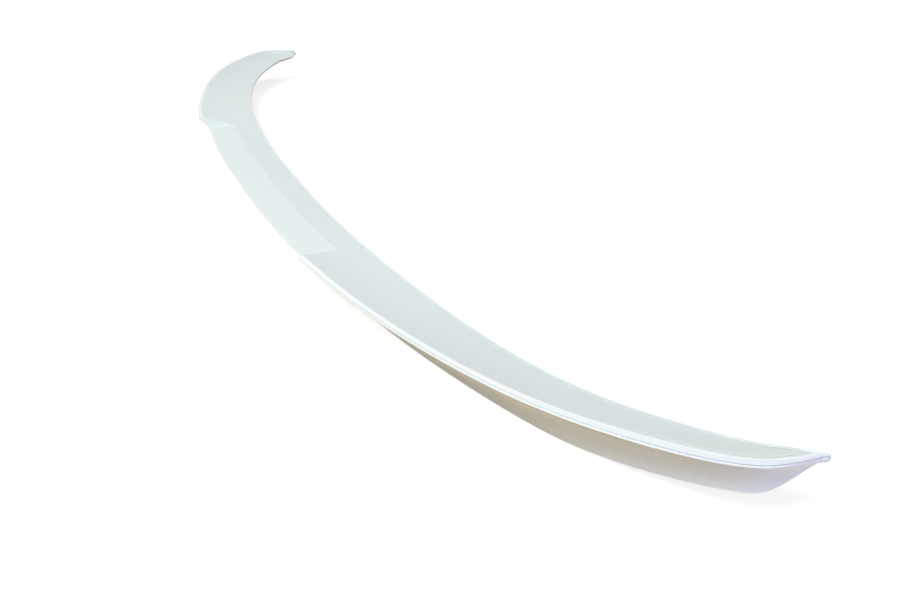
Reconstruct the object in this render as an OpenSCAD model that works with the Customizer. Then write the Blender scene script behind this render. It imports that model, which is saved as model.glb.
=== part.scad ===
// Boot lid lip spoiler: one moulded shell, swept across the lid, with a lowered
// middle section, and two strips of foam tape in grooves on its underside.
// The part stands on the bottom edge of its rear face, which runs up towards both tips, with +Y
// towards the front of the car.

/* [Overall] */
// Half of the width, to the widest of the points that draw the trailing edge
half_span = 564; // [500:1:620]
// How far the tips lie forward of the middle of the trailing edge
sweep = 227; // [190:1:265]
// Fore-and-aft depth at the middle
chord = 72; // [65:1:80]
// Height of the trailing edge's lower corner at the middle
tail_height = 26.5; // [24:0.5:31]
// Height of the leading edge at the middle
nose_height = 20.5; // [17.5:0.5:22]
// Height of both tips
tip_height = 38.5; // [35:0.5:42]

/* [Upper surface] */
// Width of the rounded crest along the trailing edge, beside the middle
crest_w = 4.5; // [3:0.5:7]
// Width of the crest towards each end
crest_end_w = 6.5; // [5:0.5:9]
// Rise of the crest above the edge behind it
crest_rise = 1.2; // [0.6:0.1:2]
// Thickness of the trailing edge
edge_t = 2.3; // [1.8:0.1:3.2]
// Sag of the ramp between the leading edge and the crest
ramp_sag = 1.6; // [0.5:0.1:2.5]
// Radius of the leading edge
nose_r = 1.5; // [1:0.1:2]
// Radius of the bead along the trailing edge
bead_r = 0.7; // [0.5:0.1:0.8]
// How far the bead stands out behind the crest
bead_out = 0.9; // [0.5:0.1:1.2]

/* [Lowered middle] */
// Share of each half of the trailing edge that is lowered
middle_share = 0.21; // [0.15:0.01:0.3]
// Width across the car of the sloping step at each end
step_w = 10; // [6:0.5:16]
// How far the middle's trailing edge is set in
middle_inset = 12; // [8:0.5:15]
// How far the middle's trailing edge is lowered
middle_drop = 7.5; // [5:0.5:9]
// Share of the chord, from the trailing edge, that the lowered panel takes
panel_share = 0.59; // [0.5:0.01:0.66]

/* [Rear face] */
// Share of the chord from the trailing edge forward to the bottom edge
heel_share = 0.45; // [0.4:0.01:0.5]
// How deeply the rear face is hollowed, as a share of its own size
rear_hollow = 0.12; // [0:0.01:0.16]
// Height to which the bottom edge runs up before it turns the corner
heel_lift = 15; // [11:0.5:18]

/* [Moulding] */
// Wall of the moulded shell
wall = 3; // [2.5:0.1:3.5]
// Width of the land along the leading edge
front_land = 15; // [13.5:0.5:17]
// Width of the land along the bottom edge
rear_land = 14; // [13.5:0.5:15]
// Thickness of the cross ribs
rib_t = 2.4; // [1.8:0.1:3]
// Stations from one rib to the next
rib_every = 3; // [2:1:4]

/* [Tape] */
// Width of the foam tape
tape_w = 9; // [7:0.5:9.5]
// Thickness of the foam tape
tape_t = 1.1; // [0.8:0.1:1.4]
// Gap between the tape and each side of its groove
tape_gap = 0.3; // [0.2:0.05:0.5]
// Lip between the edge and the groove
lip_w = 1.6; // [1.4:0.1:2]

/* [Hidden] */

paint = [0.93, 0.95, 0.96];
foam = [0.62, 0.12, 0.12];

// The trailing and leading edges are smooth curves drawn by eight control points in each half,
// from the middle to the tip. Each is a share of half_span, and of the way forward to the tip.
tail_plan = [[0, 0], [0.21, 0], [0.505, 0.1], [0.76, 0.305], [0.89, 0.505], [0.99, 0.725], [1, 0.865], [0.995, 1]];
nose_plan = [[0, 0], [0.185, 0], [0.44, 0.08], [0.665, 0.26], [0.82, 0.475], [0.95, 0.82], [0.955, 0.925], [0.995, 1]];
// Heights of the two edges, as shares of the way from their height at the middle to the tip's.
tail_crown = [0, 0, -0.29, 0, 0.375, 0.875, 1.04, 1];
nose_crown = [0, 0, 0.08, -0.08, 0.17, 0.69, 0.8, 1];
// The rear face gets steeper towards the end: how far forward its bottom edge lies, in heel shares.
heel_path = [1, 1, 1, 1, 0.9, 0.6, 0.25, 1.1];
// Shares of the half at which the bottom edge leaves the bench, and turns the corner up to the tip
heel_leave = 0.49;
heel_corner = 0.775;

// Spacing of the stations along each half, and the width of the step as a share of it
rows_middle = 6;
rows_wing = 24;
row_last = 0.978;
step_u = step_w / (half_span * 1.7);
cavity_end = 0.74;
front_tape_end = 0.77;
rear_tape_end = 0.7;
// Shallow arch of the underside, which follows the lid
arch = 2;
groove_d = tape_t / 2;
groove_w = tape_w + 2 * tape_gap;
through = 8;
// The rim and the lands shrink where a station is less deep than this, down to the share beside it.
full_depth = 30;
least_size = 0.5;
// Thickness of the bottom edge, forward and up
heel_t = [1.2, 0.2];
// Step from the end of each land to the wall of the mouth
mouth_step = 1;
// How far the ribs stop short of the underside, and how far they are rooted in the walls
rib_short = 3;
rib_root = 0.6;
// How far the tip reaches beyond its last station
tip_out = 4.5;

function lerp(a, b, t) = a + (b - a) * t;
function smooth(t) = let (k = max(0, min(1, t))) k * k * (3 - 2 * k);
function basis(t) = [(1 - t) ^ 3, 3 * t ^ 3 - 6 * t ^ 2 + 4, -3 * t ^ 3 + 3 * t ^ 2 + 3 * t + 1, t ^ 3] / 6;

// A cubic B-spline over one half. The first point is repeated in mirror image, so that the two
// halves join smoothly, and the curve ends on the last point.
function curve(points, u, mirrored) = let (
    n = len(points),
    all = concat([mirrored], points, [2 * points[n - 1] - points[n - 2]]),
    s = min(floor(u * (n - 1)), n - 2))
    basis(u * (n - 1) - s) * [for (i = [0 : 3]) all[s + i]];

function flip(p) = [-p[0], p[1]];
function tail_xy(u) = let (p = curve(tail_plan, u, flip(tail_plan[1]))) [p[0] * half_span, p[1] * sweep];
function nose_xy(u) = let (p = curve(nose_plan, u, flip(nose_plan[1])))
    [p[0] * half_span, chord + p[1] * (sweep - chord)];
function tail_z(u) = lerp(tail_height, tip_height, curve(tail_crown, u, 0));
function nose_z(u) = lerp(nose_height, tip_height, curve(nose_crown, u, 0));
function heel_q(u) = heel_share * curve(heel_path, u, 1);
function heel_z(u) = heel_lift * smooth((u - heel_leave) / (heel_corner - heel_leave))
    + (tip_height - heel_lift) * max(0, (u - heel_corner) / (1 - heel_corner));

// How much of the full wing's height a station has: 0 in the lowered middle and 1 outboard.
function wing(u) = smooth((u - middle_share) / step_u);

// A station is a vertical section: origin on the trailing edge in plan, and unit vector forward.
function ahead(u) = let (d = nose_xy(u) - tail_xy(u)) d / norm(d);
function depth(u) = norm(nose_xy(u) - tail_xy(u));
function size(u) = max(least_size, min(1, depth(u) / full_depth));

function crest(u) = lerp(crest_w, crest_end_w, smooth((u - 0.35) / 0.4)) * size(u);

// Height of the upper surface at a distance a forward of the trailing edge
function full_top(u, a) = let (
    s = size(u),
    cw = crest(u),
    hc = tail_z(u) + (edge_t + crest_rise) * s,
    front = depth(u) - nose_r * s,
    k = max(0, min(1, (a - cw) / (front - cw))))
    a < cw ? hc - crest_rise * s * (1 - a / cw) ^ 2 :
    lerp(hc, nose_z(u) + nose_r * s, k) - 4 * k * (1 - k) * ramp_sag * s;
function panel_a(u) = depth(u) * panel_share;
function low_top(u, a) = a > panel_a(u) ? full_top(u, a) :
    lerp(tail_z(u) + edge_t - middle_drop, full_top(u, panel_a(u)),
        max(0, (a - middle_inset) / (panel_a(u) - middle_inset)));
function top(u, a) = lerp(low_top(u, a), full_top(u, a), wing(u));

// The rim of the trailing edge, set in and lowered in the middle
function rim_a(u) = middle_inset * (1 - wing(u));
function rim_high(u) = top(u, rim_a(u));
function rim_low(u) = rim_high(u) - edge_t * size(u);

// The rear face, from the rim's lower corner (k = 0) to the bottom edge (k = 1)
function heel(u) = [depth(u) * heel_q(u), min(heel_z(u), rim_low(u) - 0.8 * size(u))];
function rear(u, k, inward) = let (
    p = [rim_a(u), rim_low(u)],
    r = heel(u),
    n = [p[1] - r[1], r[0] - p[0]] / norm(r - p))
    lerp(p, r, k) + n * (4 * k * (1 - k) * rear_hollow * norm(r - p) + inward);

// The underside: one land behind the leading edge, another ahead of the bottom edge, arched between
function under_front(u) = [depth(u) - nose_r * size(u), nose_z(u) - nose_r * size(u)];
function under_rear(u) = heel(u) + heel_t * size(u);
function under_len(u) = norm(under_front(u) - under_rear(u));
function under_dir(u) = (under_front(u) - under_rear(u)) / under_len(u);
function land(u) = min(1, 0.92 * under_len(u) / (front_land + rear_land));
function upward(v) = [-v[1], v[0]];
function front_end(u) = under_front(u) - under_dir(u) * front_land * land(u) + upward(under_dir(u)) * arch * land(u);
function rear_end(u) = under_rear(u) + under_dir(u) * rear_land * land(u) + upward(under_dir(u)) * arch * land(u);
function front_dir(u) = (under_front(u) - front_end(u)) / norm(under_front(u) - front_end(u));
function rear_dir(u) = (rear_end(u) - under_rear(u)) / norm(rear_end(u) - under_rear(u));

function arc(c, r, from, to, n) = [for (i = [0 : n]) let (w = lerp(from, to, i / n)) c + r * [cos(w), sin(w)]];

// Outline of a station: from the bottom edge up the rear face, over the top, and back underneath
function outline(u) = let (s = size(u), r = bead_r * s, a0 = rim_a(u), lo = rim_low(u), a1 = a0 + bead_out * s,
        brow = r / 2, a2 = a1 + brow, cw = a0 + crest(u), pa = panel_a(u), front = depth(u) - nose_r * s)
    concat(
        [heel(u)],
        [for (k = [0.97, 0.82, 0.64, 0.46, 0.28, 0.12]) rear(u, k, 0)],
        arc([a0 + r, lo + r], r, 235, 75, 4),
        [[a1, lo + 2.2 * r]],
        arc([a2, top(u, a2) - brow], brow, 180, 105, 2),
        [for (k = [0.3, 0.65, 1]) let (a = lerp(a2, cw, k)) [a, top(u, a)]],
        [for (k = [0.12, 0.4, 0.7, 1]) let (a = lerp(cw, pa, k)) [a, top(u, a)]],
        [for (k = [0.2, 0.45, 0.7, 0.9]) let (a = lerp(pa, front, k)) [a, top(u, a)]],
        arc([front, nose_z(u)], nose_r * s, 84, -84, 6),
        [front_end(u), rear_end(u), under_rear(u)]);

// Hollow of a station: in through the mouth between the lands, and up inside the skin
function mouth_front(u) = front_end(u) + front_dir(u) * mouth_step;
function mouth_rear(u) = rear_end(u) - rear_dir(u) * mouth_step;
function hollow(u) = let (f = mouth_front(u), r = mouth_rear(u), n = upward(under_dir(u)),
        back = rear(u, 0.32, wall)[0] - wall / 10, nook = depth(u) - 0.72 * front_land)
    concat(
        [r - n * through, r + upward(rear_dir(u)) * wall],
        [for (k = [0.78, 0.55, 0.32]) rear(u, k, wall)],
        [for (k = [0.05, 0.3, 0.6, 1]) let (a = lerp(back, panel_a(u), k)) [a, top(u, a) - wall]],
        [for (k = [0.45, 1]) let (a = lerp(panel_a(u), nook, k)) [a, top(u, a) - wall]],
        [f + upward(front_dir(u)) * wall, f - n * through]);

// A strip of groove or tape on a land, between two distances from its outer edge
function front_strip(u, from, to, low, high) = let (o = under_front(u), v = front_dir(u), n = upward(v))
    [o - v * to + n * low, o - v * to + n * high, o - v * from + n * high, o - v * from + n * low];
function rear_strip(u, from, to, low, high) = let (o = under_rear(u), v = rear_dir(u), n = upward(v))
    [o + v * from + n * low, o + v * from + n * high, o + v * to + n * high, o + v * to + n * low];

// Places a section in the car's frame; a negative station is the mirror image on the other side.
function place(section, u) = let (o = tail_xy(abs(u)), e = ahead(abs(u)), side = u < 0 ? -1 : 1)
    [for (p = section) [side * (o[0] + e[0] * p[0]), o[1] + e[1] * p[0], p[1]]];

module loft(rows) {
    n = len(rows[0]);
    m = len(rows);
    polyhedron(points = [for (r = rows) each r], faces = concat(
        [[for (j = [n - 1 : -1 : 0]) j]],
        [for (i = [0 : m - 2], j = [0 : n - 1]) let (k = (j + 1) % n) [i * n + j, i * n + k, (i + 1) * n + k]],
        [for (i = [0 : m - 2], j = [0 : n - 1]) let (k = (j + 1) % n) [i * n + j, (i + 1) * n + k, (i + 1) * n + j]],
        [[for (j = [0 : n - 1]) (m - 1) * n + j]]));
}

// Stations of one half, closer together over the step
step_rows = [for (k = [0 : 0.25 : 1]) middle_share + k * step_u];
half_rows = concat(
    [for (i = [1 : rows_middle - 1]) middle_share * i / rows_middle],
    step_rows,
    [for (i = [1 : rows_wing]) lerp(middle_share + step_u, row_last, i / rows_wing)]);
function both_sides(list) = concat([for (i = [len(list) - 1 : -1 : 0]) -list[i]], list);
// The hollow and the tape run on stations halfway between those of the outside, with none on the step.
step_end = middle_share + step_u;
between_rows = concat(
    [for (i = [0.5 : rows_middle]) middle_share * i / rows_middle],
    [middle_share + 0.15 * step_u, middle_share + 1.6 * step_u],
    [for (i = [1.5 : rows_wing]) lerp(step_end, row_last, i / rows_wing)]);
function halfway(last) = both_sides(concat([for (u = between_rows) if (u < last - 0.004) u], [last]));

// The end closes to a rounded tip: the last station, drawn in and pushed forward in two steps.
function middle_of(points) = [for (i = [0 : 2]) (max([for (p = points) p[i]]) + min([for (p = points) p[i]])) / 2];
function tip_row(points, w) = let (c = middle_of(points))
    [for (p = points) lerp(c, p, cos(w)) + [0, tip_out * sin(w), 0]];

sections = [for (u = concat([for (i = [len(half_rows) - 1 : -1 : 0]) -half_rows[i]], [0], half_rows))
    place(outline(abs(u)), u)];
outer_rows = concat([for (w = [75, 40]) tip_row(sections[0], w)], sections,
    [for (w = [40, 75]) tip_row(sections[len(sections) - 1], w)]);

module solid_form() {
    loft(outer_rows);
}

// A rib across the hollow: the convex plate of one station, rooted in the skin and in both lands
function rib_outline(u) = let (f = mouth_front(u), r = mouth_rear(u), v = under_dir(u), n = upward(v),
        back = rear(u, 0.32, wall)[0] - wall / 10, root = wall - rib_root)
    concat(
        [r + n * rib_short - v],
        [for (k = [0.78, 0.55, 0.32]) rear(u, k, root)],
        [for (k = [0.05, 0.6, 1]) let (a = lerp(back, panel_a(u), k)) [a, top(u, a) - root]],
        [let (a = depth(u) - 0.8 * front_land) [a, top(u, a) - root]],
        [f + n * rib_short + v]);
module rib(u) {
    flat = place(rib_outline(abs(u)), u);
    v = tail_xy(abs(u) + 0.01) - tail_xy(abs(u));
    half = [(u < 0 ? -1 : 1) * v[0], v[1], 0] / norm(v) * rib_t / 2;
    hull() polyhedron(points = concat([for (p = flat) p - half], [for (p = flat) p + half]),
        faces = [[for (j = [0 : 2 * len(flat) - 1]) j]]);
}
rib_stations = [for (i = [0 : rib_every : len(half_rows) - 2]) let (u = (half_rows[i] + half_rows[i + 1]) / 2)
    if (u < cavity_end - 0.02 && abs(u - middle_share - step_u / 2) > step_u) u];

module shell_in_car_frame() {
    difference() {
        solid_form();
        loft([for (u = halfway(cavity_end)) place(hollow(abs(u)), u)]);
        loft([for (u = halfway(front_tape_end + 0.003))
            place(front_strip(abs(u), lip_w, lip_w + groove_w, -2, groove_d), u)]);
        loft([for (u = halfway(rear_tape_end + 0.003))
            place(rear_strip(abs(u), lip_w, lip_w + groove_w, -2, groove_d), u)]);
    }
    for (u = rib_stations, side = [-1, 1]) rib(side * u);
}

// The origin moves from the trailing edge to the middle of the whole part's depth.
rear_most = min([for (row = outer_rows, p = row) p[1]]);
front_most = max([for (row = outer_rows, p = row) p[1]]);
module centred() {
    translate([0, -(rear_most + front_most) / 2, 0]) children();
}

module spoiler_shell() {
    color(paint) centred() shell_in_car_frame();
}

module front_tape() {
    color(foam) centred() loft([for (u = halfway(front_tape_end))
        place(front_strip(abs(u), lip_w + tape_gap, lip_w + tape_gap + tape_w, groove_d - tape_t, groove_d), u)]);
}

module rear_tape() {
    color(foam) centred() loft([for (u = halfway(rear_tape_end))
        place(rear_strip(abs(u), lip_w + tape_gap, lip_w + tape_gap + tape_w, groove_d - tape_t, groove_d), u)]);
}

spoiler_shell();
front_tape();
rear_tape();
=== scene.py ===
import math

import bmesh
import bpy
from mathutils import Matrix, Vector


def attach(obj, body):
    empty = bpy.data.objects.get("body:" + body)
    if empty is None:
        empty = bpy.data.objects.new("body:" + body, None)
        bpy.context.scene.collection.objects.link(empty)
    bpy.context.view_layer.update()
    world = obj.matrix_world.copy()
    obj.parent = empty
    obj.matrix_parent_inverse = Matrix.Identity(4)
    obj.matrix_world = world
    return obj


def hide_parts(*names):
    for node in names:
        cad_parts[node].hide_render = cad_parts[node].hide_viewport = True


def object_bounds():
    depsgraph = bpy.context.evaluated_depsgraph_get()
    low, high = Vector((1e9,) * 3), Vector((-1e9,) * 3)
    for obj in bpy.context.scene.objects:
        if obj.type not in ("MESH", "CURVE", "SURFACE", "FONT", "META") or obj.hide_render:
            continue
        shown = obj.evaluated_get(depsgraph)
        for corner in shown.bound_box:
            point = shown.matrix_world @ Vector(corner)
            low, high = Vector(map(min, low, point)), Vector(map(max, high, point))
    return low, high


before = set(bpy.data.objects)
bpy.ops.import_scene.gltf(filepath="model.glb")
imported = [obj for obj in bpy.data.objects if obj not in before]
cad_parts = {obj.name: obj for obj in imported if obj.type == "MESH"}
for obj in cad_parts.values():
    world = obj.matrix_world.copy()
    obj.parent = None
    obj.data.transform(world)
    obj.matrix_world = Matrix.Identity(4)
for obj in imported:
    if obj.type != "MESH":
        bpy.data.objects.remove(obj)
cad_low, cad_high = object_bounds()

# Painted shell.
# One injection moulding in ABS, sprayed pearl white under a clear coat. It lies along the rear edge
# of a boot lid: a ramp climbs to a rounded crest, and the middle is lowered between two small steps.

# Overall sizes, in millimetres. Where the moulding is less than full_depth fore and aft, its small
# features shrink with it, down to least_size of their size.
MM = 0.001
half_span = 564
sweep = 227
chord = 72
tail_height = 26.5
nose_height = 20.5
tip_height = 38.5
full_depth = 30
least_size = 0.85

# The crest, which grows wider on its way to the tip, and the ramp ahead of it
crest_w = 4.5
crest_end_w = 6.5
crest_grows_from = 0.35
crest_grows_over = 0.4
crest_most = 0.45
crest_rise = 1.2
edge_t = 2.3
ramp_sag = 1.6

# The bead along the trailing edge, which swells close to the tip, and the notch and brow above it.
# The floor and the roof of the notch are set in shares of the radii of bead and brow.
bead_r = 0.82
swell_from = 0.9
swell_over = 0.06
tip_swell = 1.1
brow_out = 0.75
brow_r = 0.35
brow_tuck = 0.9
notch_in = 1.45
notch_past = 0.6
notch_lip = 1.3
notch_floor = 0.1
notch_roof = 0.2

# The leading edge, and behind it a shallow gutter that ends in a fine line
nose_r = 1.5
lip_rise = 0.2
gutter_w = 10
gutter_d = 0.3
line_in = 3
line_most = 0.4
line_w = 0.6
line_d = 0.1
line_walls = (0.1, 0.9)

# The lowered middle. Its end and the step beside it are shares of the way from the middle to the tip.
middle_share = 0.21
step_u = 10 / (half_span * 1.7)
step_end = middle_share + step_u
middle_inset = 12
middle_drop = 7.5
panel_share = 0.59

# The rear face, slightly hollow, and the bottom edge that it ends in
rear_hollow = 0.12
face_least = 0.8
heel_share = 0.45
heel_lift = 15
heel_leave = 0.49
heel_corner = 0.775
heel_ease = 0.09
heel_r = 0.6
heel_in = 0.5
heel_foot = Vector((1.2, 0.2))

# The moulding is cored from below, which leaves a land along each edge, with a groove for the tape.
wall = 3
front_land = 15
rear_land = 14
land_most = 0.92
arch = 2
nook_share = 0.72
back_ease = 0.3
lip_w = 1.6
tape_w = 9
tape_t = 1.1
tape_gap = 0.3
groove_w = tape_w + 2 * tape_gap
groove_d = tape_t / 2
cavity_end = 0.74
front_tape_end = 0.77
rear_tape_end = 0.7
groove_spare = 0.003

# Rounded edges of a section: the turns, in degrees, that each starts and ends at, and its steps
heel_arc = (285, 205, 4)
bead_arc = (240, 80, 9)
brow_arc = (180, 105, 4)
nose_arc = (100, 0, 7)
chin_arc = (-12, -84, 5)

# Points of a section: down its rear face and its core, as shares of the way down, and along its top
face_shares = (0.98, 0.94, 0.88, 0.8, 0.71, 0.62, 0.53, 0.44, 0.35, 0.27, 0.19, 0.12, 0.07)
core_shares = (0.32, 0.43, 0.55, 0.66, 0.78)
crest_points = 7
panel_points = 9
ramp_points = 13
core_points = (5, 7)
crease_w = 0.4
crease_share = 0.06

# The finish of each stretch of a section: paint, bare moulding, a darker grey of painted shade in the fine
# groove behind the leading edge, and a lighter white of painted highlight on the bead and the crest
PAINT, BARE, PAINTED_SHADE, PAINTED_HIGHLIGHT = 0, 1, 2, 3

# Stations of one half of the moulding, closer together over the step, and its blunt tip
rows_middle = 30
rows_step = 12
rows_wing = 170
row_last = 0.965
end_gap = 0.0002
tip_out = (2.4, 4.6)
tip_turns = (12, 24, 36, 48, 59, 69, 78, 86)

# How close two points are made one, and the turn in degrees past which an edge is shaded sharp
weld = 0.0005
sharp_angle = 34

# Control points of the trailing and leading edges in one half, as shares of the half width and of
# the way forward to the tip. The crowns are shares of the rise from the middle to the tip, and the
# bottom edge's path is a share of its depth at the middle.
tail_plan = [(0, 0), (0.21, 0), (0.505, 0.1), (0.76, 0.305),
             (0.89, 0.505), (0.99, 0.725), (1, 0.865), (0.995, 1)]
nose_plan = [(0, 0), (0.185, 0), (0.44, 0.08), (0.665, 0.26),
             (0.82, 0.475), (0.95, 0.82), (0.955, 0.925), (0.995, 1)]
tail_crown = [0, 0, -0.29, 0, 0.375, 0.875, 1.04, 1]
nose_crown = [0, 0, 0.08, -0.08, 0.17, 0.71, 0.69, 1.04]
heel_path = [1, 1, 1, 1, 0.9, 0.6, 0.25, 1.1]


def lerp(a, b, t):
    return a + (b - a) * t


def even(start, end, count):
    return [lerp(start, end, i / (count - 1)) for i in range(count)]


def smooth(t):
    k = max(0, min(1, t))
    return k * k * (3 - 2 * k)


def spread(start, end, count):
    """Even steps from start to end, with one more close to each end to keep the creases crisp."""
    margin = min(crease_w, crease_share * (end - start))
    return even(start + margin, end - margin, count) + [end]


def arc(centre, radius, start, end, steps):
    turns = [math.radians(t) for t in even(start, end, steps + 1)]
    return [centre + radius * Vector((math.cos(t), math.sin(t))) for t in turns]


def upward(direction):
    return Vector((-direction[1], direction[0]))


def into_land(way):
    """Square to a land and into the moulding, whichever way along the land is meant."""
    return upward(way) if way[0] > 0 else -upward(way)


def spline(values, u, mirrored):
    """A cubic B-spline over one half. It starts on a mirror image and ends on the last value."""
    points = [mirrored] + values + [2 * values[-1] - values[-2]]
    place = u * (len(values) - 1)
    start = min(math.floor(place), len(values) - 2)
    t = place - start
    weights = ((1 - t) ** 3, 3 * t ** 3 - 6 * t ** 2 + 4, -3 * t ** 3 + 3 * t ** 2 + 3 * t + 1, t ** 3)
    return sum(w * p for w, p in zip(weights, points[start:start + 4])) / 6


def plan(points, u):
    across = [p[0] for p in points]
    forward = [p[1] for p in points]
    return spline(across, u, -across[1]), spline(forward, u, forward[1])


def tail(u):
    x, y = plan(tail_plan, u)
    return Vector((x * half_span, y * sweep))


def nose(u):
    x, y = plan(nose_plan, u)
    return Vector((x * half_span, chord + y * (sweep - chord)))


def along_path(points, count):
    """Points at even steps along a bent line."""
    steps = [(b - a).length for a, b in zip(points, points[1:])]
    found = []
    for i in range(count):
        left = sum(steps) * i / (count - 1)
        leg = 0
        while leg < len(steps) - 1 and left > steps[leg]:
            left -= steps[leg]
            leg += 1
        found.append(points[leg].lerp(points[leg + 1], left / steps[leg]))
    return found


class Station:
    """A vertical section across the moulding, at a share u of the way from the middle to the tip."""

    def __init__(self, u):
        self.origin = tail(abs(u))
        reach = nose(abs(u)) - self.origin
        self.side = -1 if u < 0 else 1
        self.depth = reach.length
        self.ahead = reach / self.depth
        self.lay_out_top(abs(u))
        self.lay_out_heel(abs(u))
        self.lay_out_underside()

    def lay_out_top(self, u):
        self.tail_z = lerp(tail_height, tip_height, spline(tail_crown, u, 0))
        self.nose_z = lerp(nose_height, tip_height, spline(nose_crown, u, 0))
        self.size = max(least_size, min(1, self.depth / full_depth))
        self.wing = smooth((u - middle_share) / step_u)
        self.swell = 1 + tip_swell * smooth((u - swell_from) / swell_over)
        self.front = self.depth - nose_r * self.size
        grown = smooth((u - crest_grows_from) / crest_grows_over)
        crest = lerp(crest_w, crest_end_w, grown) * self.size
        self.crest = max((brow_out + 2 * brow_r) * self.size, min(crest, crest_most * self.front))
        self.line = self.front - min(line_in * self.size, line_most * (self.front - self.crest))
        self.gutter = min(gutter_w, (self.line - self.crest) / 2)
        self.panel = self.depth * panel_share
        self.rim = middle_inset * (1 - self.wing)
        self.low = self.top(self.rim) - edge_t * self.size * self.swell

    def lay_out_heel(self, u):
        """The bottom edge of the rear face runs up from the bench, then turns the corner to the tip."""
        lift = heel_lift * smooth((u - heel_leave) / (heel_corner - heel_leave))
        past = (u - heel_corner) / (1 - heel_corner)
        lift += (tip_height - heel_lift) * (past + math.hypot(past, heel_ease)) / 2
        forward = self.depth * heel_share * spline(heel_path, u, 1)
        self.heel = Vector((forward, min(lift, self.low - face_least * self.size)))

    def lay_out_underside(self):
        s = self.size
        self.under_front = Vector((self.front, self.nose_z - nose_r * s))
        self.under_rear = self.heel + heel_foot * s
        span = self.under_front - self.under_rear
        self.along = span.normalized()
        self.land = min(1, land_most * span.length / (front_land + rear_land))
        rise = upward(self.along) * arch * self.land
        self.front_end = self.under_front - self.along * front_land * self.land + rise
        self.rear_end = self.under_rear + self.along * rear_land * self.land + rise
        self.front_way = (self.under_front - self.front_end).normalized()
        self.rear_way = (self.rear_end - self.under_rear).normalized()
        self.mouth_front = self.front_end + self.front_way
        self.mouth_rear = self.rear_end - self.rear_way

    def full_top(self, a):
        """Height of the top, a distance a ahead of the trailing edge, as if no part of it were lowered."""
        top = self.tail_z + (edge_t + crest_rise) * self.size
        if a < self.crest:
            return top - crest_rise * self.size * (1 - a / self.crest) ** 2
        k = max(0, min(1, (a - self.crest) / (self.front - self.crest)))
        sag = 4 * k * (1 - k) * ramp_sag * self.size
        dip = gutter_d * self.size * smooth((a - self.line + self.gutter) / self.gutter)
        return lerp(top, self.nose_z + nose_r * self.size, k) - sag - dip

    def top(self, a):
        """Height of the top as it is, with the lowered middle."""
        if self.wing == 1 or a > self.panel:
            return self.full_top(a)
        k = max(0, (a - middle_inset) / (self.panel - middle_inset))
        lowered = lerp(self.tail_z + edge_t - middle_drop, self.full_top(self.panel), k)
        return lerp(lowered, self.full_top(a), self.wing)

    def rear(self, k, inward=0):
        """A point of the rear face, a share k of the way down it, or set inward from it."""
        rim = Vector((self.rim, self.low))
        fall = self.heel - rim
        out = Vector((-fall[1], fall[0])).normalized()
        return rim + fall * k + out * (4 * k * (1 - k) * rear_hollow * fall.length + inward)

    def roof(self, stops, inward):
        """Points along the top, or set inward below it."""
        return [Vector((a, self.top(a) - inward)) for a in stops]

    def core_back(self):
        """How far forward the roof of the cored space ends, above its rear wall."""
        return self.rear(core_shares[0], wall)[0] - back_ease

    def skin(self):
        """From the bottom edge up the rear face, over the top and round the leading edge."""
        s = self.size
        bead = bead_r * s * self.swell
        brow = brow_r * s
        brow_a = self.rim + (brow_out + brow_r) * s
        brow_z = self.top(brow_a) - brow
        notch_a = min(self.rim + notch_in * s, brow_a + notch_past)
        floor_z = self.low + 2 * bead - notch_floor * bead
        roof_z = brow_z - notch_roof * brow
        crest_end = self.rim + self.crest
        panel_end = max(crest_end, self.panel)
        foot = self.heel + Vector((heel_in, heel_r)) * s
        face = arc(foot, heel_r * s, *heel_arc) + [self.rear(k) for k in face_shares]
        bulge = arc(Vector((self.rim + bead, self.low + bead)), bead, *bead_arc)
        notch = [Vector((self.rim + notch_lip * bead, floor_z)), Vector((notch_a, floor_z)),
                 Vector((notch_a, roof_z)), Vector((brow_a - brow_tuck * brow, roof_z))]
        band = arc(Vector((brow_a, brow_z)), brow, *brow_arc)
        band += self.roof(spread(brow_a, crest_end, crest_points), 0)
        roof = self.roof(spread(crest_end, panel_end, panel_points), 0)
        roof += self.roof(spread(panel_end, self.line, ramp_points), 0)
        line = self.roof([self.line + line_w * s * k for k in line_walls], line_d * s)
        lip = self.roof([self.line + line_w * s], -gutter_d * s)
        lip += arc(Vector((self.front, self.nose_z + lip_rise * s)), nose_r * s, *nose_arc)
        lip += arc(Vector((self.front, self.nose_z)), nose_r * s, *chin_arc)
        line = [roof[-1]] + line + [lip[0]]
        # The bead and a full wing's crest band take the lighter white of painted highlight, and the fine
        # groove the darker grey of painted shade.
        return [(face, PAINT), (bulge, PAINTED_HIGHLIGHT), (notch, PAINT), (band, PAINTED_HIGHLIGHT if self.wing == 1 else PAINT),
                (roof, PAINT), (line, PAINTED_SHADE), (lip, PAINT)]

    def groove(self, edge, way, depth):
        """Across one land, from its outer edge inwards, through the groove for the tape."""
        near = edge + way * lip_w * self.land
        far = edge + way * (lip_w + groove_w) * self.land
        lift = into_land(way) * depth
        return [near, near + lift, far + lift, far]

    def core(self):
        """The cored space, in through the mouth at the front land and back down at the rear one."""
        nook = self.depth - nook_share * front_land
        points = [self.mouth_front, self.mouth_front + upward(self.front_way) * wall]
        points += self.roof(even(nook, self.panel, core_points[0]), wall)
        points += self.roof(even(self.panel, self.core_back(), core_points[1])[1:], wall)
        points += [self.rear(k, wall) for k in core_shares]
        points += [self.mouth_rear + upward(self.rear_way) * wall, self.mouth_rear]
        return points

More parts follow.
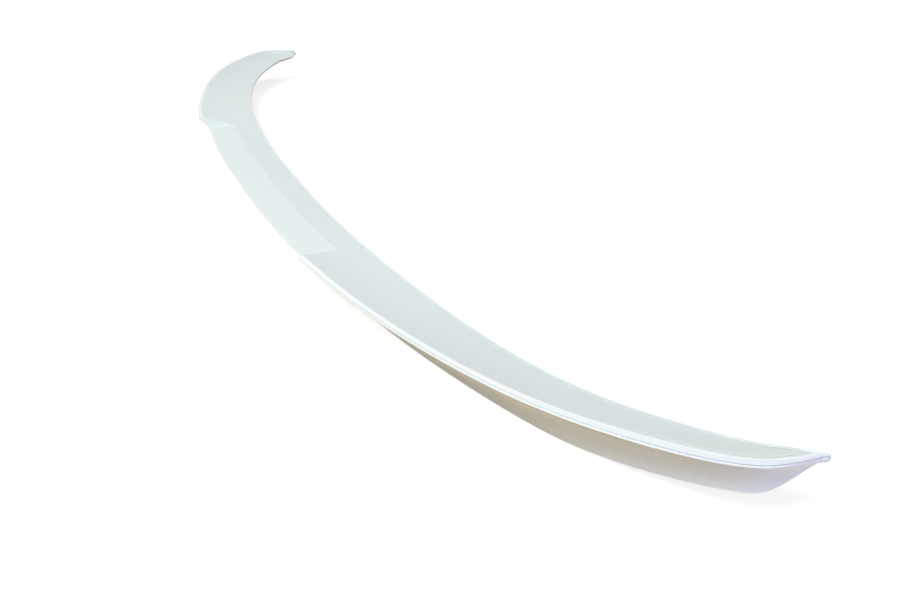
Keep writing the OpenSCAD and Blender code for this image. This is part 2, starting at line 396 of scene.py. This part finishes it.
    def underside(self, cored, front_taped, rear_taped):
        """From the leading edge back to the bottom edge of the rear face."""
        core = self.core()
        if not cored:
            flat = [self.mouth_front, self.front_end, self.rear_end, self.mouth_rear]
            core = along_path(flat, len(core))
        front = [self.under_front]
        front += self.groove(self.under_front, -self.front_way, groove_d * front_taped)
        rear = self.groove(self.under_rear, self.rear_way, groove_d * rear_taped)[::-1]
        rear += [self.under_rear]
        return [(front, PAINT), (core, BARE if cored else PAINT), (rear, PAINT)]

    def place(self, section):
        """Stands points of the flat section up at its place along the moulding."""
        return [Vector((self.side * (self.origin[0] + self.ahead[0] * p[0]),
                        self.origin[1] + self.ahead[1] * p[0], p[1])) for p in section]


def loft(mesh, rings, shades=None):
    """Grows one closed skin from the first ring of points through all the others."""
    count = len(rings[0])
    loop = [mesh.verts.new(p) for p in rings[0]]
    edges = [mesh.edges.new((loop[i - 1], loop[i])) for i in range(count)]
    bmesh.ops.contextual_create(mesh, geom=edges)
    for row, ring in enumerate(rings[1:]):
        grown = bmesh.ops.extrude_edge_only(mesh, edges=edges)["geom"]
        fresh = {v for v in grown if isinstance(v, bmesh.types.BMVert)}
        loop = [next(e.other_vert(v) for e in v.link_edges if e.other_vert(v) in fresh) for v in loop]
        edges = [mesh.edges.get((loop[i - 1], loop[i])) for i in range(count)]
        for i in range(count):
            loop[i].co = ring[i]
            if shades:
                corners = [side[k] for side in shades[row:row + 2] for k in (i - 1, i)]
                edges[i].link_faces[0].material_index = min(corners)
    bmesh.ops.contextual_create(mesh, geom=edges)


def finish_mesh(mesh, name, finishes):
    """Puts a mesh drawn in millimetres into the frame, and shades it smooth but for its sharp edges."""
    bmesh.ops.recalc_face_normals(mesh, faces=mesh.faces)
    bmesh.ops.translate(mesh, verts=mesh.verts, vec=(0, setback, 0))
    bmesh.ops.scale(mesh, verts=mesh.verts, vec=(MM, MM, MM))
    for face in mesh.faces:
        face.smooth = True
    for edge in mesh.edges:
        edge.smooth = edge.calc_face_angle(0) < math.radians(sharp_angle)
    data = bpy.data.meshes.new(name)
    mesh.to_mesh(data)
    mesh.free()
    for finish in finishes:
        data.materials.append(finish.material)
    piece = bpy.data.objects.new(name, data)
    bpy.context.scene.collection.objects.link(piece)
    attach(piece, "root")
    return piece


class Socket:
    """One output of a node. Sums and products of it add Math nodes."""

    def __init__(self, finish, output):
        self.finish = finish
        self.output = output

    def maths(self, operation, a, b):
        return self.finish.node("ShaderNodeMath", {"operation": operation}, {0: a, 1: b})

    def __add__(self, other):
        return self.maths("ADD", self, other)

    def __radd__(self, other):
        return self.maths("ADD", other, self)

    def __mul__(self, other):
        return self.maths("MULTIPLY", self, other)

    def __rmul__(self, other):
        return self.maths("MULTIPLY", other, self)


class Finish:
    """A material, and the one method that adds its nodes."""

    def __init__(self, name):
        self.material = bpy.data.materials.new(name)
        self.clear_nodes(self.material)

    def clear_nodes(self, owner):
        owner.use_nodes = True
        self.tree = owner.node_tree
        self.tree.nodes.clear()

    def node(self, kind, settings=None, inputs=None, output=0):
        made = self.tree.nodes.new(kind)
        for name, value in (settings or {}).items():
            setattr(made, name, value)
        for name, value in (inputs or {}).items():
            if isinstance(value, Socket):
                self.tree.links.new(value.output, made.inputs[name])
            else:
                made.inputs[name].default_value = value
        return Socket(self, made.outputs[output]) if made.outputs else None

    def noise(self, scale, detail):
        at = self.node("ShaderNodeTexCoord", output="Object")
        return self.node("ShaderNodeTexNoise", None,
                         {"Vector": at, "Scale": scale, "Detail": detail, "Roughness": 0.5})

    def blend(self, factor, low, high):
        """A colour between low and high. Sockets 6 and 7 take them, and output 2 is the result."""
        return self.node("ShaderNodeMix", {"data_type": "RGBA"},
                         {"Factor": factor, 6: (*low, 1), 7: (*high, 1)}, 2)

    def bump(self, height, distance, strength):
        return self.node("ShaderNodeBump", None,
                         {"Height": height, "Distance": distance, "Strength": strength})

    def surface(self, **inputs):
        named = {name.replace("_", " "): value for name, value in inputs.items()}
        shader = self.node("ShaderNodeBsdfPrincipled", None, named)
        self.node("ShaderNodeOutputMaterial", None, {"Surface": shader})

    def clear_coated(self, colour, drift, coat):
        """Paint with the faint ripple of a sprayed coat, under a clear layer."""
        ripple = self.noise(260, 2)
        self.surface(
            Base_Color=colour,
            Roughness=0.34 + drift * 0.08,
            Normal=self.bump(ripple, 0.0002, 0.05),
            Specular_IOR_Level=0.12,
            Coat_Weight=coat,
            Coat_Roughness=0.08,
        )


# Pearl white: a soft drift between two whites, with fine flakes in it.
pearl = Finish("pearl_paint")
drift = pearl.noise(7, 2)
flakes = pearl.noise(1900, 1)
tone = drift * 0.7 + flakes * 0.3
pearl.clear_coated(pearl.blend(tone, (0.79, 0.895, 0.885), (0.845, 0.94, 0.925)), drift, 0.55)

# The crest of each wing and the bead are painted a lighter white than the rest of the paint: a painted
# highlight.
painted_highlight = Finish("pearl_painted_highlight")
mist = painted_highlight.noise(7, 2)
painted_highlight.clear_coated(painted_highlight.blend(mist, (0.89, 0.95, 0.94), (0.93, 0.975, 0.965)), mist, 0.6)

# Bare moulding inside the hollow: matt, faintly grained, with a little overspray.
moulding = Finish("bare_moulding")
grain = moulding.noise(900, 3)
overspray = moulding.noise(22, 2)
moulding.surface(
    Base_Color=moulding.blend(overspray, (0.42, 0.43, 0.43), (0.56, 0.57, 0.57)),
    Roughness=0.55 + grain * 0.12,
    Normal=moulding.bump(grain, 0.0003, 0.15),
)

# The fine groove behind the leading edge is painted a darker grey than the paint: painted shade in the
# groove, with a random speckle in it.
groove_shade = Finish("painted_groove_shade")
shade_speckle = groove_shade.noise(400, 2)
groove_shade.surface(
    Base_Color=groove_shade.blend(shade_speckle, (0.68, 0.73, 0.73), (0.75, 0.79, 0.79)),
    Roughness=0.6 + shade_speckle * 0.1,
)

# The hollow, the front groove and the rear one each end between two stations that almost touch.
ends = (cavity_end, front_tape_end + groove_spare, rear_tape_end + groove_spare)
half = [middle_share * i / rows_middle for i in range(1, rows_middle)]
half += even(middle_share, step_end, rows_step)
half += even(step_end, row_last, rows_wing)[1:]
half = sorted(half + list(ends) + [end + end_gap for end in ends])
stations = [-u for u in reversed(half)] + [0] + half


def middle_of(ring):
    return Vector([(min(p[i] for p in ring) + max(p[i] for p in ring)) / 2 for i in range(3)])


def rounded_tip(ring):
    """The end closes to a blunt tip: the last station, drawn in and pushed outward and forward."""
    middle = middle_of(ring)
    push = Vector((math.copysign(tip_out[0], middle[0]), tip_out[1], 0))
    rows = []
    for turn in tip_turns:
        t = math.radians(turn)
        rows.append([middle.lerp(p, math.cos(t)) + push * math.sin(t) for p in ring])
    return rows


rings = []
shades = []
for u in stations:
    station = Station(u)
    groups = station.skin() + station.underside(*[abs(u) <= end for end in ends])
    rings.append(station.place([p for points, finish in groups for p in points]))
    shades.append([finish for points, finish in groups for p in points])
tip_rows = len(tip_turns)
rings = rounded_tip(rings[0])[::-1] + rings + rounded_tip(rings[-1])
shades = [shades[0]] * tip_rows + shades + [shades[-1]] * tip_rows
setback = cad_low[1] / MM - min(p[1] for ring in rings for p in ring)

shell = bmesh.new()
loft(shell, rings, shades)
bmesh.ops.remove_doubles(shell, verts=shell.verts, dist=weld)
painted_shell = finish_mesh(shell, "painted_shell", [pearl, moulding, groove_shade, painted_highlight])
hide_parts("spoiler_shell")

# Cross ribs.
# Thin plates moulded in one with the shell, which tie its skin to both lands and keep the long hollow
# from twisting. They stop short of the underside, so that the shell bears on its tape alone.
rib_t = 2.4
rib_short = 3
rib_root = 0.6
rib_nook = 0.8
rib_ahead = 0.01
rib_middle = (0.25, 0.75)
rib_rows = 24
rib_every = 3
wing_ribs = 6
rib_pitch = (row_last - step_end) / rib_rows
rib_stations = [middle_share * k for k in rib_middle]
rib_stations += [step_end + rib_pitch * (0.5 + rib_every * i) for i in range(wing_ribs)]

ribs = bmesh.new()
for u in [-u for u in rib_stations] + rib_stations:
    station = Station(u)
    root = wall - rib_root
    lift = upward(station.along) * rib_short
    stops = even(station.core_back(), station.panel, 4) + [station.depth - rib_nook * front_land]
    plate = [station.mouth_rear + lift - station.along]
    plate += [station.rear(k, root) for k in core_shares[::-2]]
    plate += station.roof(stops, root)
    plate += [station.mouth_front + lift + station.along]
    ahead = tail(abs(u) + rib_ahead) - tail(abs(u))
    across = Vector((station.side * ahead[0], ahead[1], 0)).normalized() * rib_t
    corners = [ribs.verts.new(p - across / 2) for p in station.place(plate)]
    face = ribs.faces.new(corners)
    grown = bmesh.ops.extrude_face_region(ribs, geom=[face])["geom"]
    moved = [v for v in grown if isinstance(v, bmesh.types.BMVert)]
    bmesh.ops.translate(ribs, verts=moved, vec=across)

cross_ribs = finish_mesh(ribs, "cross_ribs", [moulding])

# Foam tape.
# Two runs of closed-cell acrylic foam tape, pressed into the grooves at the works. A red film liner
# covers the sticky face until the spoiler is fitted to a lid.
liner_t = 0.12
foam_clear = 0.02
tape_corner = 0.12
tape_rows = 150
tape_low = groove_d - tape_t

foam = Finish("grey_foam")
cells = foam.noise(1500, 2)
foam.surface(
    Base_Color=foam.blend(cells, (0.05, 0.05, 0.052), (0.12, 0.12, 0.122)),
    Roughness=0.8 + cells * 0.1,
    Normal=foam.bump(cells, 0.0002, 0.3),
)

film = Finish("red_liner")
crinkle = film.noise(70, 3)
film.surface(
    Base_Color=film.blend(crinkle, (0.26, 0.02, 0.018), (0.36, 0.03, 0.026)),
    Roughness=0.24 + crinkle * 0.14,
    Normal=film.bump(crinkle, 0.0006, 0.2),
)


def strip(edge, way, low, high):
    """A thin strip of tape on a land, with its long edges eased."""
    near = lip_w + tape_gap
    far = near + tape_w
    up = into_land(way)
    ease = min(tape_corner, (high - low) / 3)
    places = [(near + ease, low), (far - ease, low), (far, low + ease), (far, high - ease),
              (far - ease, high), (near + ease, high), (near, high - ease), (near, low + ease)]
    return [edge + way * a + up * b for a, b in places]


def tape_run(name, last, low, high, finish, front):
    """One layer of a run of tape, from one end of its land to the other."""
    rows = []
    for u in even(-last, last, tape_rows):
        station = Station(u)
        if front:
            section = strip(station.under_front, -station.front_way, low, high)
        else:
            section = strip(station.under_rear, station.rear_way, low, high)
        rows.append(station.place(section))
    mesh = bmesh.new()
    loft(mesh, rows)
    piece = finish_mesh(mesh, name, [finish])
    return piece


for name, last, front in (("front_tape", front_tape_end, True), ("rear_tape", rear_tape_end, False)):
    pad = tape_run(name + "_foam", last, tape_low + liner_t, groove_d - foam_clear, foam, front)
    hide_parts(name)
    tape_run(name + "_liner", last, tape_low, tape_low + liner_t, film, front)

# Studio.
# A pale floor and a dim cool room. Camera, mirrored and see-through views take both as white, and
# matt surfaces get the floor's warm tint. The floor fades from shadowed to plain white in a ring.
floor_half = 4
floor_drop = 0.0002
floor_matt = 0.56
floor_glow = 0.76
floor_tint = (0.5, 0.335, 0.09, 1)
pool_near = 0.45
pool_far = 0.95
sky_colour = (0.9, 0.96, 1, 1)
sky_strength = 0.06
WHITE = (1, 1, 1, 1)


def camera_white(finish):
    """One for rays that end in the camera, a reflection or a clear surface, and nought for the rest."""
    rays = [finish.node("ShaderNodeLightPath", output=name)
            for name in ("Is Camera Ray", "Is Glossy Ray", "Is Transmission Ray")]
    return rays[0] + rays[1] + rays[2]


ground = Finish("pale_floor")
spot = ground.node("ShaderNodeTexCoord", output="Object")
reach = ground.node("ShaderNodeVectorMath", {"operation": "LENGTH"}, {0: spot}, "Value")
pool = ground.node("ShaderNodeMapRange", {"interpolation_type": "SMOOTHSTEP"},
                   {"Value": reach, "From Min": pool_near, "From Max": pool_far})
matt = ground.node("ShaderNodeBsdfDiffuse", None, {"Color": (floor_matt, floor_matt, floor_matt, 1)})
glow = ground.node("ShaderNodeEmission", None, {"Color": WHITE, "Strength": floor_glow})
lit = ground.node("ShaderNodeAddShader", None, {0: matt, 1: glow})
blank = ground.node("ShaderNodeEmission", None, {"Color": WHITE, "Strength": 1})
seen = ground.node("ShaderNodeMixShader", None, {0: pool, 1: lit, 2: blank})
tint = ground.node("ShaderNodeBsdfDiffuse", None, {"Color": floor_tint})
shown = ground.node("ShaderNodeMixShader", None, {0: camera_white(ground), 1: tint, 2: seen})
ground.node("ShaderNodeOutputMaterial", None, {"Surface": shown})

slab = bmesh.new()
bmesh.ops.create_grid(slab, x_segments=1, y_segments=1, size=floor_half)
bmesh.ops.translate(slab, verts=slab.verts, vec=(0, 0, -floor_drop))
floor_mesh = bpy.data.meshes.new("floor")
slab.to_mesh(floor_mesh)
slab.free()
floor_mesh.materials.append(ground.material)
floor = bpy.data.objects.new("floor", floor_mesh)
bpy.context.scene.collection.objects.link(floor)


class Room(Finish):
    """The world, whose nodes are made the same way as a material's."""

    def __init__(self, name):
        self.world = bpy.data.worlds.new(name)
        self.clear_nodes(self.world)


studio = Room("studio")
dim = studio.node("ShaderNodeBackground", None, {"Color": sky_colour, "Strength": sky_strength})
white = studio.node("ShaderNodeBackground", None, {"Color": WHITE, "Strength": 1})
mixed = studio.node("ShaderNodeMixShader", None, {0: camera_white(studio), 1: dim, 2: white})
studio.node("ShaderNodeOutputWorld", None, {"Surface": mixed})
bpy.context.scene.world = studio.world
bpy.context.scene.view_settings.view_transform = "Standard"

# Lamps.
# A large soft lamp behind lights the rear face and the ramp. A long strip ahead on the left puts the
# gloss on the crest, a weak lamp fills the right side, and a cool one tints the right-hand end.


def soft_lamp(name, way, away, wide, high, power, colour=(1, 1, 1)):
    """A flat soft lamp that faces the middle of the bench."""
    light = bpy.data.lights.new(name, "AREA")
    light.shape = "RECTANGLE"
    light.size = wide
    light.size_y = high
    light.energy = power
    light.color = colour
    lamp = bpy.data.objects.new(name, light)
    lamp.location = way.normalized() * away
    lamp.rotation_euler = way.to_track_quat("Z", "Y").to_euler()
    bpy.context.scene.collection.objects.link(lamp)


soft_lamp("rear_key", Vector((0.2, -0.64, 0.74)), away=2.2, wide=1.6, high=1.2, power=41)
soft_lamp("front_strip", Vector((-0.522, 0.438, 0.731)), away=1.6, wide=2.7, high=0.3, power=7)
soft_lamp("side_fill", Vector((0.75, -0.2, 0.63)), away=1.8, wide=1, high=0.6, power=1.6)
soft_lamp("end_fill", Vector((1, 0.05, 0.12)), away=1.7, wide=0.8, high=0.36, power=7.5,
          colour=(0.58, 0.6, 1))

# Camera.
# It stands behind the right-hand end and above it, where the photo was taken from. Its focal
# length is 900 pixels of a picture that is 920 wide.
camera_turn = math.radians(61.589)
camera_rise = math.radians(24.865)
camera_roll = math.radians(7.938)
camera_away = 0.682691
sensor_w = 36
focal_pixels = 900
picture_pixels = 920
aim = Vector((0.302, -0.007362, 0.02))
back = Vector((math.sin(camera_turn) * math.cos(camera_rise),
               -math.cos(camera_turn) * math.cos(camera_rise), math.sin(camera_rise)))
level_right = Vector((0, 0, 1)).cross(back).normalized()
level_up = back.cross(level_right)
right = level_right * math.cos(camera_roll) + level_up * math.sin(camera_roll)
up = level_up * math.cos(camera_roll) - level_right * math.sin(camera_roll)
lens = bpy.data.cameras.new("camera")
lens.sensor_width = sensor_w
lens.lens = sensor_w * focal_pixels / picture_pixels
camera = bpy.data.objects.new("camera", lens)
camera.matrix_world = Matrix((right, up, back)).transposed().to_4x4()
camera.location = aim + back * camera_away
bpy.context.scene.collection.objects.link(camera)
bpy.context.scene.camera = camera
